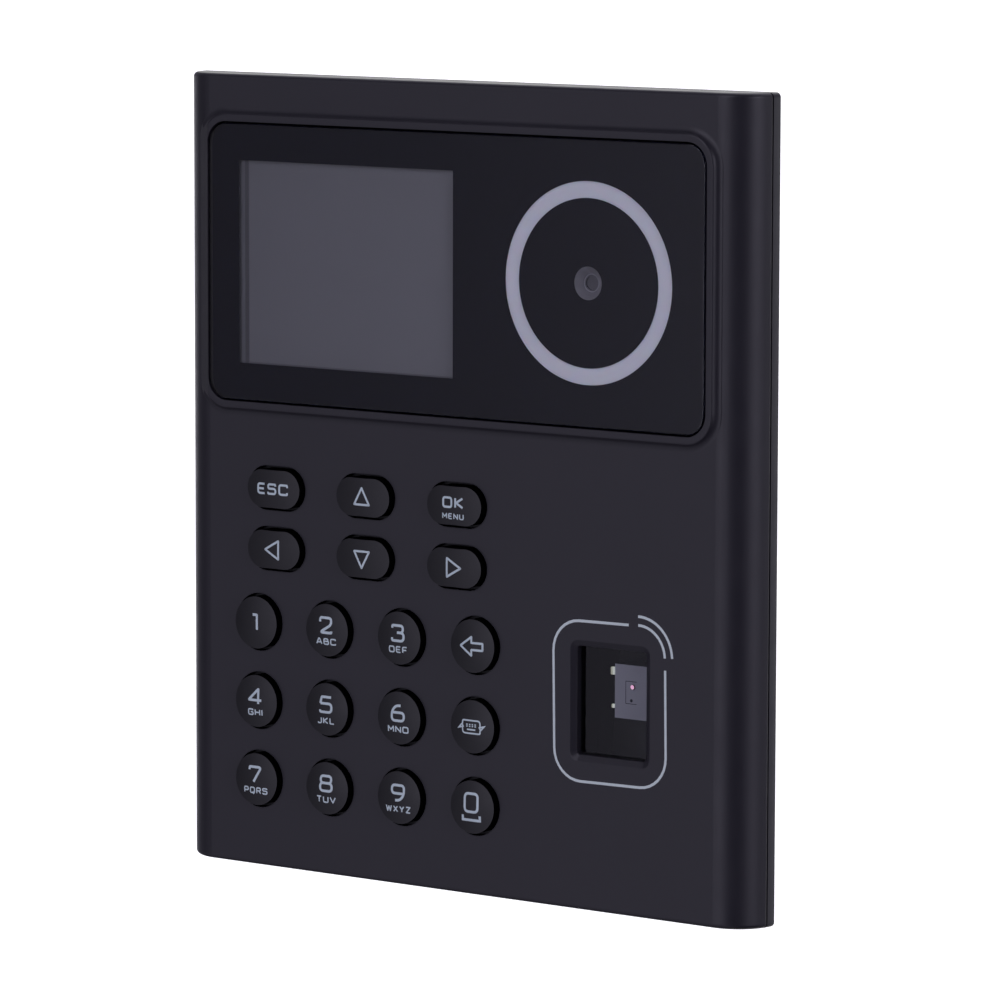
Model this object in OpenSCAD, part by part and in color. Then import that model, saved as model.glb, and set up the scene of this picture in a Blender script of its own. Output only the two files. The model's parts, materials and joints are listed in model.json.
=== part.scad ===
// Fingerprint scanner terminal: a shallow wall-mounted case with a glass display panel, a camera
// inside a light ring, an eighteen-key keypad and a recessed fingerprint reader.
// Millimetres. Every part is drawn lying on its back, with x to the right, y up the case and z out
// from the wall. stand() then turns it, so that the front faces -Y, +Z is up and the wall is y = 0.

/* [Case] */
// Width across the sides
case_w = 131.8; // [131.4:0.2:133]
// Height
case_h = 150; // [149:0.5:152]
// Distance from the wall to the front face
case_d = 22.8; // [22.6:0.2:24]
// Radius of the two long front edges, which is also the depth of the visible side
side_r = 8; // [7.6:0.1:8.4]
// Radius of the front edge at the top and bottom ends
end_r = 0.9; // [0.5:0.1:0.9]
// Wall thickness of both shells
wall = 2; // [1.8:0.1:2.1]
// Depth of the front shell, from the front face back to the seam
seam_depth = 6; // [5.8:0.1:6.2]
// Open line between the front and the rear shell
seam_gap = 0.3; // [0.2:0.05:0.4]

/* [Rear housing] */
// Width of the deep part of the rear shell
house_w = 107.8; // [106:0.2:108]
// Height of the deep part of the rear shell
house_h = 138; // [136:0.5:139]
// Corner radius of the deep part
house_r = 6; // [5:0.5:7]
// Radius of its back edge
house_edge_r = 1.5; // [1:0.1:1.8]

/* [Display panel] */
// Width of the cover glass
glass_w = 113.4; // [113:0.1:113.6]
// Height of the cover glass
glass_h = 52.1; // [51.6:0.1:52.2]
// Corner radius of the cover glass
glass_r = 4; // [3.5:0.1:4.5]
// Thickness of the cover glass
glass_t = 1.2; // [1.1:0.05:1.25]
// Height of the panel's middle above the middle of the case
panel_y = 39.8; // [39.7:0.1:40.1]
// Place of the panel's middle across the case
panel_x = -0.75; // [-0.8:0.05:-0.6]
// Width of the raised rim around the glass
rim_w = 1.1; // [1:0.05:1.15]
// Height of the rim above the front face
rim_h = 0.9; // [0.85:0.05:1]
// Width of the screen's window
window_w = 50.2; // [49:0.1:50.4]
// Height of the screen's window
window_h = 38.2; // [37:0.1:38.4]
// Place of the screen across the case
window_x = -25.6; // [-25.7:0.05:-25.4]
// Place of the light ring across the case
ring_x = 29.9; // [29.8:0.1:30.2]
// Outer radius of the lit ring
ring_ro = 18.45; // [18:0.05:18.6]
// Inner radius of the lit ring
ring_ri = 15.4; // [15.2:0.05:15.8]
// Radius of the camera's window
lens_r = 3.05; // [2.9:0.05:3.1]

/* [Keypad] */
// Place of the keypad across the case
pad_x = -20.6; // [-20.8:0.1:-20.4]
// Distance between the round keys' columns
key_dx = 17; // [16.8:0.1:17.2]
// Distance between the round keys' rows
key_dy = 15; // [14.8:0.1:15.2]
// Height of the first row of round keys
key_row_y = -28.3; // [-28.5:0.1:-28.1]
// Radius of a round key's hole
key_hole_r = 5.5; // [5.3:0.05:5.6]
// Distance between the oblong keys' columns
pill_dx = 21.2; // [21:0.1:21.4]
// Distance between the oblong keys' rows
pill_dy = 11.5; // [11.4:0.1:11.6]
// Height of the first row of oblong keys
pill_row_y = -2.6; // [-2.8:0.1:-2.4]
// Width of an oblong key's hole
pill_w = 13.5; // [13.2:0.1:13.8]
// Height of an oblong key's hole
pill_h = 8.4; // [8.2:0.1:8.6]
// Gap between a key and the edge of its hole
key_gap = 0.55; // [0.3:0.05:0.6]
// Height of a key above the front face
key_rise = 1.5; // [1.3:0.1:1.6]
// Travel of a key
key_travel = 0.8; // [0.6:0.1:0.9]

/* [Fingerprint reader] */
// Place of the reader across the case
reader_x = 35.05; // [34.9:0.05:35.2]
// Height of the reader's middle
reader_y = -36.35; // [-36.5:0.05:-36.2]
// Width of the recess at the front face
recess_w = 17.7; // [17.5:0.1:17.8]
// Height of the recess at the front face
recess_h = 22.3; // [22.1:0.1:22.4]
// How far each of its sides slopes inwards
recess_slope = 1.15; // [1.05:0.05:1.2]
// Depth of the sloping part
recess_depth = 0.65; // [0.6:0.05:0.8]

/* [Mounting plate] */
// Width of the plate
plate_w = 84; // [82:0.5:86]
// Height of the plate
plate_h = 126; // [124:0.5:128]
// Thickness of the plate
plate_t = 1.5; // [1.2:0.1:1.6]
// Distance across between the wall screws
wall_dx = 70; // [68:0.5:71]
// Distance up between the wall screws
wall_dy = 76; // [74:0.5:78]
// Radius of the wall screws' holes
wall_hole_r = 2.25; // [2:0.05:2.5]
// Distance between the two slots for a wall box
box_dx = 60.3; // [60:0.1:60.5]
// Length of each slot
box_slot = 8; // [7:0.5:9]
// Width of each slot
box_slot_w = 4.2; // [4:0.1:4.4]
// Radius of the room behind the case for a wall screw's head
head_room_r = 4.2; // [3.8:0.1:4.5]
// Depth of that room
head_room = 2.6; // [2.4:0.1:2.8]

/* [Hidden] */
$fn = 64;
slack = 0.1;

// Levels above the wall
face = case_d;
inner_face = face - wall;
seam = face - seam_depth;
lip_back = face - side_r;
shelf_t = 1.5;
shelf_top = lip_back + shelf_t;
house_back = plate_t + 0.2;
house_floor = house_back + wall;
inner_w = case_w - 2 * wall;
inner_h = case_h - 2 * wall;
tongue_w = inner_w - 2.2;
tongue_h = inner_h - 0.5;
tongue_t = 1;
tongue_rise = 1;
rim_crest = 0.4;
rim_slope = 50;
rim_foot = 1.6;
rim_side_slope = 25;
rim_foot_x = 60.5;

// Display stack
pocket_gap = 0.3;
pocket_w = glass_w + 2 * pocket_gap;
pocket_h = glass_h + 2 * pocket_gap;
pocket_r = glass_r + pocket_gap;
ledge = face - 0.8;
tape_t = 0.3;
print_t = 0.08;
print_gap = 0.02;
print_z = ledge + tape_t;
glass_z = print_z + print_t + print_gap;
glass_edge = 0.35;
lcd_w = 55.6;
lcd_h = 42;
lcd_t = 2.7;
lcd_z = inner_face - 1.6;
lcd_skin = 0.3;
lcd_fit = 0.3;
lcd_cell_t = 0.9;
lcd_light_t = 1.1;
lcd_inset = 1;
print_inset = 0.3;
ring_hole_r = 20.7;
diffuser_ro = 19.6;
diffuser_ri = 14.4;
diffuser_z = inner_face - 0.5;
diffuser_t = print_z - slack - diffuser_z;
ring_board_ro = 20;
ring_board_ri = 8;
ring_board_t = 0.8;
ring_board_z = inner_face - 2.2;
led_size = 1.6;
led_t = 0.6;
led_count = 16;
bracket_w = 120;
bracket_h = 49;
bracket_t = 1.1;
bracket_z = ring_board_z - slack - bracket_t;
bracket_dx = 115;
bracket_dy = 42;
bracket_wall = 1.2;
bracket_rib = 1.6;
bracket_slot_h = 2;
camera_size = 8.5;
camera_base = 3.6;
camera_h = 5;
camera_board_size = 11;
camera_board_t = 1;
camera_z = bracket_z - 0.4;
barrel_r = 3.4;
barrel_floor = 1;
hood_r = 1.7;
iris_r = 1.25;

// Flexible cables
flex_t = 0.2;
flex_leg = 4;
lcd_flex_y = panel_y - lcd_h / 2 + 4;
lcd_flex_w = 14;
camera_flex_y = panel_y - 8;
camera_flex_w = 7;
key_flex_w = 12;
reader_flex_w = 8;

// Keys
cap_edge = 0.4;
round_dome_r = 32;
pill_dome_r = 52;
crown_facets = 240;
flange_lip = 1.05;
flange_t = 0.7;
flange_z = inner_face - 0.15 - flange_t;
stem_r = 2.2;
stem_gap = 0.05;
dome_top = flange_z - key_travel - stem_gap;
dome_h = 0.9;
dome_foot_r = 3.6;
dome_tip_r = 2.6;
mat_t = 0.6;
mat_z = dome_top - dome_h - mat_t;
key_board_t = 1.2;
key_board_z = mat_z - key_board_t;
pad_w = 65.4;
pad_h = 71;
pad_y = -31;
boss_r = 2.2;
screw_r = 0.9;
pad_bosses = [
    for (side = [-1, 1]) [pad_x + side * pill_dx / 2, pill_row_y - pill_dy / 2],
    for (side = [-1, 1], row = [0.5, 1.5]) [pad_x + side * key_dx, key_row_y - row * key_dy]
];

// Fingerprint reader
opening_w = recess_w - 2 * recess_slope;
opening_h = recess_h - 2 * recess_slope;
opening_r = 0.7;
reader_glass_t = 1;
reader_glass_w = opening_w + 2.4;
reader_glass_h = opening_h + 2.4;
reader_glass_z = inner_face - reader_glass_t;
reader_w = 19.6;
reader_h = 24;
reader_wall = 1.1;
reader_back = 8.4;
reader_board_t = 1;
ear_w = 8;
ear_reach = 4.6;
ear_t = 1.2;
ear_y = reader_h / 2 + 2.4;
prism_drop = 5;
prism_w = 5.8;
sensor_x = reader_x + 2.95;
sensor_y = reader_y + 2;
sensor_w = 8;
sensor_h = 9.9;
sensor_t = 9.4;
lamp_x = reader_x + 2.9;
lamp_y = reader_y + 2.95;
lamp_r = 0.5;
lamp_t = 0.5;

// Main board
board_t = 1.6;
board_z = 10.6;
board_top = board_z + board_t;
board_posts = [[-46, 56], [46, 56], [-46, -58], [46, -13]];
header_y = -51;
header_d = 6.4;
header_low = 4.3;
header_wall = 0.8;
header_floor = 1;
network_x = -20;
network_pins = 8;
power_x = 0;
power_pins = 4;
pin_pitch = 2;
pin_size = 0.5;
bay_w = 42;
bay_h = 12;
bay_x = -12;
can_size = 24;
can_h = 2.2;
can_skin = 0.3;
can_x = 2;
can_y = 30;
cell_x = -30;
cell_y = 36;
cell_r = 6.25;
cell_t = 2;
cell_h = 3.2;
sounder_x = 44;
sounder_y = 8;
sounder_r = 6;
sounder_h = 5.2;
sounder_port_r = 1.2;
vent_r = 0.7;
vent_dx = 2.4;
vent_dy = 2.2;
post_r = 3;
tamper_x = 30;
tamper_y = -13;
switch_size = 3.6;
switch_h = 3;
plunger_r = 1.8;
plunger_reach = 1;
plunger_travel = 1;
plunger_flange_r = 3.4;
plunger_flange_t = 0.8;
plunger_head = 1.4;
guard_gap = 0.3;
guard_t = 1.1;
guard_h = 2;
spring_wire = 0.5;
spring_turns = 4;

// Fasteners
thread_gap = 0.05;
hole_gap = 0.2;
shell_screw_x = 58.4;
shell_screw_ys = [-68, 0, 68];
shell_boss_r = 3;
shell_screw_r = 1.3;
shell_screw_l = 5;
shell_head_r = 2.4;
shell_head_t = 1.4;
small_head_r = 1.9;
small_head_t = 0.8;
lock_z = 6.2;
lock_r = 1.5;
lock_l = 8;
lock_head_r = 2.8;
lock_head_t = 1.3;
lock_sink = 1.5;
lock_boss = 2;
lift = 1.6;
hook_w = 11;
hook_t = 1.2;
hook_lip = 2.8;
hook_top = 1;
hook_slot = hook_lip + 3 * hole_gap;
hook_y = hook_slot / 2 - slack - hook_t;
hook_z = house_floor + 0.3;
hook_dx = 42;
hook_dy = 84;
tab_w = 12;
tab_t = 1.5;
tab_top = 9.4;
tab_y = -plate_h / 2 + tab_t / 2;

ROUND_KEYS = ["key_1", "key_2", "key_3", "key_back", "key_4", "key_5", "key_6", "key_input",
    "key_7", "key_8", "key_9", "key_0"];
PILL_KEYS = ["key_esc", "key_up", "key_ok", "key_left", "key_down", "key_right"];

function round_key_at(i) = [pad_x + (i % 4 - 1.5) * key_dx, key_row_y - floor(i / 4) * key_dy];
function pill_key_at(i) = [pad_x + (i % 3 - 1) * pill_dx, pill_row_y - floor(i / 3) * pill_dy];

// ---- Shared shapes ----

module stand() {
    rotate([90, 0, 0]) children();
}

// A flat outline with four round corners.
module rounded(w, h, r) {
    square([w - 2 * r, h], center = true);
    if (h > 2 * r) square([w, h - 2 * r], center = true);
    for (x = [-1, 1], y = [-1, 1]) {
        translate([x * (w / 2 - r), y * (h / 2 - r)]) circle(r);
    }
}

// A plate with round corners, from z up.
module plate(w, h, r, z, t) {
    translate([0, 0, z]) linear_extrude(t) rounded(w, h, r);
}

module block(x, y, z, w, h, t) {
    translate([x - w / 2, y - h / 2, z]) cube([w, h, t]);
}

module disc(x, y, z, r, t) {
    translate([x, y, z]) cylinder(r = r, h = t);
}

// Carries a cross-section around a rectangle with round corners. The section's x is measured
// outwards from the corners' centres, and its y is height.
module sweep(w, h, r) {
    for (k = [0:3]) {
        long = k % 2 == 0 ? h : w;
        across = k % 2 == 0 ? w : h;
        rotate([0, 0, 90 * k]) translate([across / 2 - r, long / 2 - r, 0]) {
            rotate_extrude(angle = 90) children();
            if (long > 2 * r) {
                rotate([90, 0, 0]) linear_extrude(long - 2 * r) children();
            }
        }
    }
}

// Half cross-section of a plate whose upper edge is rounded.
module edge_section(r, t, e) {
    if (t > e) square([r, t - e]);
    square([r - e, t]);
    intersection() {
        translate([r - e, t - e]) circle(e);
        square([r, t]);
    }
}

// A plate with round corners and a round upper edge.
module soft_plate(w, h, r, z, t, e) {
    translate([0, 0, z]) {
        sweep(w, h, r) edge_section(r, t, e);
        if (h > 2 * r) linear_extrude(t) square([w - 2 * r, h - 2 * r], center = true);
    }
}

// Cross-section of the case's front: a rectangle whose two front corners are round.
module front_section(w, depth, r, top) {
    translate([-w / 2 + r, top - depth]) square([w - 2 * r, depth]);
    if (depth > r) translate([-w / 2, top - depth]) square([w, depth - r]);
    for (side = [0, 1]) {
        mirror([side, 0]) translate([w / 2 - r, top - r]) intersection() {
            circle(r);
            square(r);
        }
    }
}

// The outside of the front half of the case, as deep as its round edges, with soft ends.
module case_front() {
    body_h = case_h - 2 * end_r;
    translate([0, body_h / 2, 0]) rotate([90, 0, 0]) linear_extrude(body_h) {
        front_section(case_w, side_r, side_r, face);
    }
    for (end = [0, 1]) {
        mirror([0, end, 0]) translate([0, body_h / 2, face - side_r]) {
            for (side = [0, 1]) {
                mirror([side, 0, 0]) translate([case_w / 2 - side_r, 0, 0]) {
                    mirror([0, 1, 0]) rotate([90, 0, 0]) rotate_extrude(angle = 90) {
                        edge_section(side_r, end_r, end_r);
                    }
                }
            }
            translate([-case_w / 2 + side_r, 0, 0]) rotate([90, 0, 90]) {
                linear_extrude(case_w - 2 * side_r) mirror([1, -1]) edge_section(side_r, end_r, end_r);
            }
        }
    }
}

// The hollow inside the front half of the case.
module case_hollow(from) {
    translate([0, inner_h / 2, 0]) rotate([90, 0, 0]) linear_extrude(inner_h) {
        front_section(inner_w, inner_face - from, side_r - wall, inner_face);
    }
}

// Four screw places at the corners of a rectangle.
module at_corners(dx, dy) {
    for (x = [-1, 1], y = [-1, 1]) {
        translate([x * dx / 2, y * dy / 2, 0]) children();
    }
}

// A cross-head screw that points along +z, with its head below z.
module screw(z, r, length, head_r, head_t) {
    difference() {
        union() {
            translate([0, 0, z]) cylinder(r = r, h = length);
            translate([0, 0, z - head_t]) cylinder(r = head_r, h = head_t);
        }
        for (turn = [0, 90]) {
            rotate([0, 0, turn]) block(0, 0, z - head_t - slack, head_r, head_r / 4, head_t * 0.6);
        }
    }
}

// A flat flexible cable: a leg at z_top, a drop to z_low and a leg there.
module flex_strip(x, y, w, z_low, z_top, low_leg, top_leg) {
    block(x, y + top_leg / 2 - flex_t / 2, z_top - flex_t, w, abs(top_leg) + flex_t, flex_t);
    block(x, y + low_leg / 2 - flex_t / 2, z_low, w, abs(low_leg) + flex_t, flex_t);
    block(x, y - flex_t / 2, z_low, w, flex_t, z_top - z_low);
}

// ---- Shells ----

// Cross-section of the rim: a flat top, a rounded crest, a straight slope and a hollow foot.
module rim_section(root) {
    crest_x = rim_w + rim_crest * sin(rim_slope);
    crest_y = rim_h - rim_crest * (1 - cos(rim_slope));
    foot_y = rim_foot * (1 - cos(rim_slope));
    foot_x = crest_x + (crest_y - foot_y) / tan(rim_slope);
    end_x = foot_x + rim_foot * sin(rim_slope);
    difference() {
        union() {
            polygon([
                [0, -root],
                [end_x, -root],
                [end_x, 0],
                [foot_x, foot_y],
                [crest_x, crest_y],
                [rim_w, rim_h],
                [0, rim_h]
            ]);
            intersection() {
                translate([rim_w, rim_h - rim_crest]) circle(rim_crest);
                translate([rim_w, 0]) square([rim_crest, rim_h]);
            }
        }
        translate([end_x, rim_foot]) circle(rim_foot);
    }
}

// The raised rim around the glass. Its left side slopes straight into the round edge of the case.
module rim() {
    root = 0.5;
    drop = side_r - sqrt(pow(side_r, 2) - pow(rim_foot_x - (case_w / 2 - side_r), 2));
    difference() {
        translate([panel_x, panel_y, face]) sweep(pocket_w, pocket_h, pocket_r) {
            translate([pocket_r, 0]) rim_section(root);
        }
        translate([-rim_foot_x, panel_y, face - drop]) rotate([0, -rim_side_slope, 0]) {
            translate([-side_r, -case_h / 2, 0]) cube([4 * side_r, case_h, side_r]);
        }
    }
}

module key_holes() {
    for (i = [0:11]) {
        disc(round_key_at(i)[0], round_key_at(i)[1], inner_face - slack, key_hole_r, wall + 2 * slack);
    }
    for (i = [0:5]) {
        translate(pill_key_at(i)) plate(pill_w, pill_h, pill_h / 2, inner_face - slack, wall + 2 * slack);
    }
}

// The finger's recess: sloping sides down to a thin straight edge around the reader's glass.
module finger_recess() {
    outer_r = opening_r + recess_slope;
    reach = 0.5;
    grow = reach * recess_slope / recess_depth;
    translate([reader_x, reader_y, 0]) {
        plate(opening_w, opening_h, opening_r, inner_face - slack, wall);
        translate([0, 0, face - recess_depth]) sweep(recess_w, recess_h, outer_r) {
            polygon([
                [0, 0],
                [opening_r, 0],
                [outer_r + grow, recess_depth + reach],
                [0, recess_depth + reach]
            ]);
        }
        block(0, 0, face - recess_depth, recess_w - 2 * outer_r, recess_h - 2 * outer_r,
            recess_depth + reach);
    }
}

module front_shell() {
    boss_root = 0.3;
    color([0.16, 0.16, 0.18]) difference() {
        union() {
            difference() {
                case_front();
                translate([-case_w, -case_h, 0]) cube([2 * case_w, 2 * case_h, seam + seam_gap / 2]);
                case_hollow(lip_back - wall);
            }
            rim();
            for (x = [-1, 1], y = shell_screw_ys) {
                disc(x * shell_screw_x, y, seam + seam_gap / 2, shell_boss_r, inner_face - seam);
            }
            translate([0, panel_y, 0]) at_corners(bracket_dx, bracket_dy) {
                disc(0, 0, bracket_z + bracket_t, boss_r, inner_face - bracket_z - bracket_t + boss_root);
            }
            for (at = pad_bosses) {
                disc(at[0], at[1], key_board_z + key_board_t, boss_r,
                    inner_face - key_board_z - key_board_t + boss_root);
            }
            for (y = [-1, 1]) {
                disc(reader_x, reader_y + y * ear_y, reader_glass_z + slack, boss_r,
                    reader_glass_t + boss_root);
            }
        }
        translate([panel_x, panel_y, 0]) plate(pocket_w, pocket_h, pocket_r, ledge, rim_h + wall);
        block(window_x, panel_y, inner_face - slack, lcd_w + 2 * lcd_fit, lcd_h + 2 * lcd_fit, wall + 1);
        disc(ring_x, panel_y, inner_face - slack, ring_hole_r, wall + 1);
        key_holes();
        finger_recess();
        for (x = [-1, 1], y = shell_screw_ys) {
            disc(x * shell_screw_x, y, seam, shell_screw_r, inner_face - seam);
        }
        translate([0, panel_y, 0]) at_corners(bracket_dx, bracket_dy) {
            disc(0, 0, bracket_z, screw_r, inner_face - bracket_z + boss_root);
        }
        for (at = pad_bosses) {
            disc(at[0], at[1], key_board_z, screw_r, inner_face - key_board_z + boss_root);
        }
        for (y = [-1, 1]) {
            disc(reader_x, reader_y + y * ear_y, reader_glass_z, screw_r, reader_glass_t + 2 * boss_root);
        }
    }
}

// Where the wall screws come through the plate: four round holes and two slots.
module wall_screw_places(z, t, r, slot_r) {
    at_corners(wall_dx, wall_dy) disc(0, 0, z, r, t);
    for (x = [-1, 1]) {
        translate([x * box_dx / 2, 0, 0]) plate(box_slot - box_slot_w + 2 * slot_r, 2 * slot_r, slot_r, z, t);
    }
}

// The walls, posts and pads that stand on the floor of the rear shell.
module floor_blocks() {
    low = house_floor - slack;
    roof = 1.2;
    pad_r = head_room_r + roof;
    for (at = board_posts) {
        disc(at[0], at[1], low, post_r, board_z - low);
    }
    translate([tamper_x, tamper_y, low]) difference() {
        cylinder(r = plunger_flange_r + guard_gap + guard_t, h = guard_h);
        translate([0, 0, -slack]) cylinder(r = plunger_flange_r + guard_gap, h = guard_h + 2 * slack);
    }
    wall_screw_places(low, head_room - wall + roof, pad_r, pad_r);
    block(0, -house_h / 2 + wall + lock_boss / 2, low, tab_w, lock_boss + slack, tab_top - low);
}

module rear_shell() {
    cut = wall + 2 * slack;
    color([0.17, 0.17, 0.19]) difference() {
        union() {
            difference() {
                case_front();
                translate([-case_w, -case_h, seam - seam_gap / 2]) {
                    cube([2 * case_w, 2 * case_h, seam_depth + 1]);
                }
                plate(inner_w, inner_h, 1, shelf_top, side_r);
            }
            translate([0, 0, lip_back + slack]) mirror([0, 0, 1]) {
                soft_plate(house_w, house_h, house_r, 0, lip_back + slack - house_back, house_edge_r);
            }
            difference() {
                plate(tongue_w, tongue_h, 1, lip_back + slack, seam + tongue_rise - lip_back);
                plate(tongue_w - 2 * tongue_t, tongue_h - 2 * tongue_t, 1, lip_back, side_r);
            }
        }
        difference() {
            plate(house_w - 2 * wall, house_h - 2 * wall, house_r - wall, house_floor, face - house_floor);
            floor_blocks();
        }
        for (at = board_posts) {
            disc(at[0], at[1], house_floor + 1, screw_r, board_z);
        }
        for (x = [-1, 1], y = shell_screw_ys) {
            disc(x * shell_screw_x, y, lip_back - slack, shell_screw_r + hole_gap, side_r);
        }
        block(bay_x, header_y, house_back - slack, bay_w, bay_h, cut);
        disc(tamper_x, tamper_y, house_back - slack, plunger_r + hole_gap, cut);
        for (row = [-2:2], column = [-0.5, 0.5]) {
            translate([sounder_x + column * vent_dx, sounder_y + row * vent_dy, 0]) {
                disc(0, 0, house_back - slack, vent_r, cut);
            }
        }
        wall_screw_places(house_back - slack, head_room + slack, head_room_r, head_room_r);
        at_corners(hook_dx, hook_dy) block(0, 0, house_back - slack, hook_w + 2, hook_slot, cut);
        block(0, tab_y - lift / 2, house_back - slack, tab_w + 1, tab_t + lift + 3 * hole_gap, cut);
        translate([0, -house_h / 2 - slack, lock_z]) rotate([-90, 0, 0]) {
            cylinder(r = lock_r + hole_gap, h = wall + lock_boss + 1);
            cylinder(r = lock_head_r + hole_gap, h = lock_sink + slack);
        }
    }
}

// ---- Display panel ----

module cover_glass() {
    color([0.10, 0.10, 0.12]) translate([panel_x, panel_y, 0]) {
        soft_plate(glass_w, glass_h, glass_r, glass_z, glass_t, glass_edge);
    }
}

// The flat outline behind the glass.
module behind_glass(z, t) {
    translate([panel_x, panel_y, 0]) {
        plate(glass_w - 2 * print_inset, glass_h - 2 * print_inset, glass_r - print_inset, z, t);
    }
}

module glass_print() {
    color([0.03, 0.03, 0.04]) difference() {
        behind_glass(print_z, print_t);
        block(window_x, panel_y, print_z - slack, window_w, window_h, print_t + 2 * slack);
        difference() {
            disc(ring_x, panel_y, print_z - slack, ring_ro, print_t + 2 * slack);
            disc(ring_x, panel_y, print_z - 2 * slack, ring_ri, print_t + 4 * slack);
        }
        disc(ring_x, panel_y, print_z - slack, lens_r, print_t + 2 * slack);
    }
}

module glass_tape() {
    color([0.06, 0.06, 0.06]) difference() {
        behind_glass(ledge, tape_t);
        block(window_x, panel_y, ledge - slack, lcd_w + 4 * lcd_fit, lcd_h + 4 * lcd_fit, tape_t + 2 * slack);
        disc(ring_x, panel_y, ledge - slack, ring_hole_r + lcd_fit, tape_t + 2 * slack);
    }
}

module lcd_frame() {
    clear = 0.8;
    color([0.62, 0.63, 0.65]) difference() {
        block(window_x, panel_y, lcd_z, lcd_w, lcd_h, lcd_t);
        block(window_x, panel_y, lcd_z + lcd_skin, lcd_w - 2 * lcd_skin, lcd_h - 2 * lcd_skin,
            lcd_t - 2 * lcd_skin);
        block(window_x, panel_y, lcd_z + lcd_skin, window_w + clear, window_h + clear, lcd_t);
    }
}

module lcd_panel() {
    color([0.33, 0.34, 0.36]) {
        block(window_x, panel_y, lcd_z + lcd_t - lcd_skin - lcd_cell_t, lcd_w - lcd_inset, lcd_h - lcd_inset,
            lcd_cell_t);
    }
}

module lcd_backlight() {
    color([0.9, 0.9, 0.88]) {
        block(window_x, panel_y, lcd_z + lcd_skin, lcd_w - lcd_inset, lcd_h - lcd_inset, lcd_light_t);
    }
}

module lcd_flex() {
    color([0.72, 0.42, 0.12]) {
        flex_strip(window_x, lcd_flex_y, lcd_flex_w, board_top, lcd_z, flex_leg, flex_leg);
    }
}

module display_bracket() {
    nest_w = lcd_w + 2 * lcd_fit;
    nest_h = lcd_h + 2 * lcd_fit;
    low = bracket_z - slack;
    cut = bracket_t + 2 * slack;
    color([0.22, 0.22, 0.22]) difference() {
        union() {
            translate([0, panel_y, 0]) plate(bracket_w, bracket_h, 3, bracket_z, bracket_t);
            difference() {
                block(window_x, panel_y, bracket_z, nest_w + 2 * bracket_wall, nest_h + 2 * bracket_wall,
                    inner_face - slack - bracket_z);
                block(window_x, panel_y, bracket_z, nest_w, nest_h, side_r);
            }
            for (x = [-1, 0, 1]) {
                block(window_x + x * lcd_w / 3, panel_y + flex_leg, bracket_z, bracket_rib, lcd_h * 2 / 3,
                    lcd_z - bracket_z - slack / 2);
            }
        }
        block(window_x, lcd_flex_y, low, lcd_flex_w + 2, bracket_slot_h, cut);
        block(ring_x, panel_y, low, camera_board_size, camera_board_size, cut);
        translate([0, panel_y, 0]) at_corners(bracket_dx, bracket_dy) {
            disc(0, 0, low, screw_r + hole_gap, cut);
        }
    }
}

module light_ring() {
    color([0.86, 0.86, 0.90]) difference() {
        disc(ring_x, panel_y, diffuser_z, diffuser_ro, diffuser_t);
        disc(ring_x, panel_y, diffuser_z - slack, diffuser_ri, diffuser_t + 2 * slack);
    }
}

module ring_board() {
    color([0.05, 0.28, 0.14]) difference() {
        disc(ring_x, panel_y, ring_board_z, ring_board_ro, ring_board_t);
        disc(ring_x, panel_y, ring_board_z - slack, ring_board_ri, ring_board_t + 2 * slack);
    }
}

module ring_leds() {
    led_circle = (diffuser_ro + diffuser_ri) / 2;
    color([0.95, 0.93, 0.75]) translate([ring_x, panel_y, 0]) {
        for (i = [0:led_count - 1]) {
            rotate([0, 0, i * 360 / led_count]) {
                block(led_circle, 0, ring_board_z + ring_board_t, led_size, led_size, led_t);
            }
        }
    }
}

module camera_holder() {
    color([0.08, 0.08, 0.08]) difference() {
        union() {
            block(ring_x, panel_y, camera_z, camera_size, camera_size, camera_base);
            disc(ring_x, panel_y, camera_z, barrel_r + 1, camera_h);
        }
        disc(ring_x, panel_y, camera_z + barrel_floor, barrel_r + slack, camera_h);
    }
}

// The lens in the bottom of its hood, whose wall slopes inwards.
module camera_lens() {
    top = print_z - slack;
    bottom = camera_z + barrel_floor + slack;
    hood = 1.8;
    iris = 0.5;
    color([0.20, 0.20, 0.24]) translate([ring_x, panel_y, 0]) difference() {
        disc(0, 0, bottom, barrel_r, top - bottom);
        translate([0, 0, top - hood]) cylinder(r1 = hood_r, r2 = lens_r, h = hood);
        disc(0, 0, top - slack / 2, lens_r, slack);
        disc(0, 0, top - hood - iris, iris_r, hood);
    }
}

module camera_board() {
    size = camera_board_size;
    color([0.05, 0.28, 0.14]) block(ring_x, panel_y, camera_z - camera_board_t, size, size, camera_board_t);
}

module camera_flex() {
    top = camera_z - camera_board_t;
    color([0.72, 0.42, 0.12]) {
        flex_strip(ring_x, camera_flex_y, camera_flex_w, board_top, top, flex_leg, flex_leg);
    }
}

// ---- Keypad ----

// The ball whose top touches the keys' height, so that a cap cut by it is slightly domed.
module crown(r) {
    translate([0, 0, face + key_rise - r]) rotate_extrude() intersection() {
        circle(r, $fn = crown_facets);
        square([2 * key_hole_r, r]);
    }
}

module round_key(i) {
    cap_r = key_hole_r - key_gap;
    color([0.13, 0.13, 0.15]) translate(round_key_at(i)) {
        intersection() {
            translate([0, 0, flange_z]) rotate_extrude() {
                edge_section(cap_r, face + key_rise - flange_z, cap_edge);
            }
            crown(round_dome_r);
        }
        disc(0, 0, flange_z, cap_r + flange_lip, flange_t);
        disc(0, 0, dome_top + stem_gap, stem_r, flange_z - dome_top);
    }
}

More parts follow.
